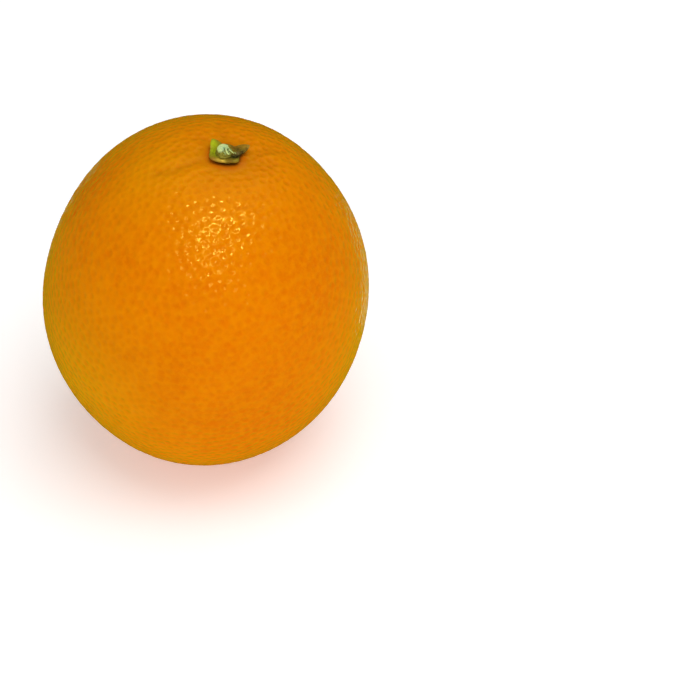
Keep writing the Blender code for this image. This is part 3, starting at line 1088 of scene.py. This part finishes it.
def add_floor(paper):
    """A wide pale sheet under the fruit."""
    bpy.ops.mesh.primitive_plane_add(size=FLOOR_WIDTH, location=(0.0, 0.0, 0.0))
    floor = bpy.context.object
    floor.name = "floor"
    floor.data.materials.append(paper)
    floor.visible_glossy = False


def add_card(paper, name, corners):
    """A white card that lies behind the fruit, to be mirrored along the fruit's edge."""
    bm = bmesh.new()
    bm.faces.new([bm.verts.new((x * MM, y * MM, CARD_HEIGHT)) for x, y in corners])
    card = add_piece(bm, name, paper, Matrix())
    card.visible_camera = False
    card.visible_diffuse = False
    card.visible_shadow = False


def camera_axes():
    """The camera's right, up and backward directions."""
    right = Vector((1.0, 0.0, 0.0))
    back = Vector((0.0, -cos(CAMERA_ELEVATION), sin(CAMERA_ELEVATION)))
    return right, back.cross(right), back


def add_softbox(aim, name, direction, size, power, mirrored):
    """A studio light that faces the fruit. It either lights it or is mirrored by it."""
    right, up, back = camera_axes()
    towards = (right * direction[0] + up * direction[1] + back * direction[2]).normalized()
    light = bpy.data.lights.new(name, "AREA")
    light.shape = "RECTANGLE"
    light.size = size[0]
    light.size_y = size[1]
    light.energy = power
    lamp = bpy.data.objects.new(name, light)
    lamp.location = aim + towards * LIGHT_DISTANCE
    lamp.rotation_euler = towards.to_track_quat("Z", "Y").to_euler()
    lamp.visible_glossy = mirrored
    lamp.visible_diffuse = not mirrored
    bpy.context.scene.collection.objects.link(lamp)


def add_world():
    """Even white light from all round, which the gloss doesn't mirror."""
    world = bpy.data.worlds.new("white room")
    world.use_nodes = True
    background = world.node_tree.nodes["Background"]
    background.inputs["Color"].default_value = WHITE
    background.inputs["Strength"].default_value = ROOM_LIGHT
    world.cycles_visibility.glossy = False
    bpy.context.scene.world = world


def add_camera(middle):
    """The photograph's camera: the fruit's middle falls on the same pixel as there."""
    right, up, back = camera_axes()
    data = bpy.data.cameras.new("camera")
    data.lens = CAMERA_LENS
    data.sensor_width = CAMERA_SENSOR
    data.clip_start, data.clip_end = CAMERA_CLIP
    camera = bpy.data.objects.new("camera", data)
    pixel = CAMERA_DISTANCE * CAMERA_SENSOR / (CAMERA_LENS * PHOTO_SIZE)
    aside = (FRUIT_PIXEL[0] - PHOTO_SIZE / 2) * pixel
    above = (PHOTO_SIZE / 2 - FRUIT_PIXEL[1]) * pixel
    camera.location = middle + back * CAMERA_DISTANCE - right * aside - up * above
    camera.rotation_euler = Matrix((right, up, back)).transposed().to_euler()
    bpy.context.scene.collection.objects.link(camera)
    bpy.context.scene.camera = camera


def set_stage(middle):
    """Floor, cards, lights and camera round the fruit."""
    paper = paper_material()
    add_floor(paper)
    add_camera(middle)
    for softbox in SOFTBOXES:
        add_softbox(middle, *softbox)
    for name, corners in CARDS:
        add_card(paper, name, corners)
    add_world()
    bpy.context.scene.view_settings.view_transform = "Standard"


def join_frame(piece, node):
    """Let a piece stand for its solid."""
    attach(piece, "root")
    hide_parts(node)


def main():
    """Dress the three solids, then light and frame them."""
    rind = bpy.data.materials.new("orange peel")
    peel = grow("peel", peel_tree(), PEEL_SIZES, rind)
    middle = stand_fruit(peel)
    paint_peel(rind, middle)
    place = Matrix.Translation(middle) @ lean_matrix()
    calyx = build_calyx(calyx_material(middle), place)
    stub = build_stub(stub_material(middle), place)
    join_frame(peel, "fruit")
    join_frame(calyx, "calyx")
    join_frame(stub, "stem_stub")
    set_stage(middle)


main()
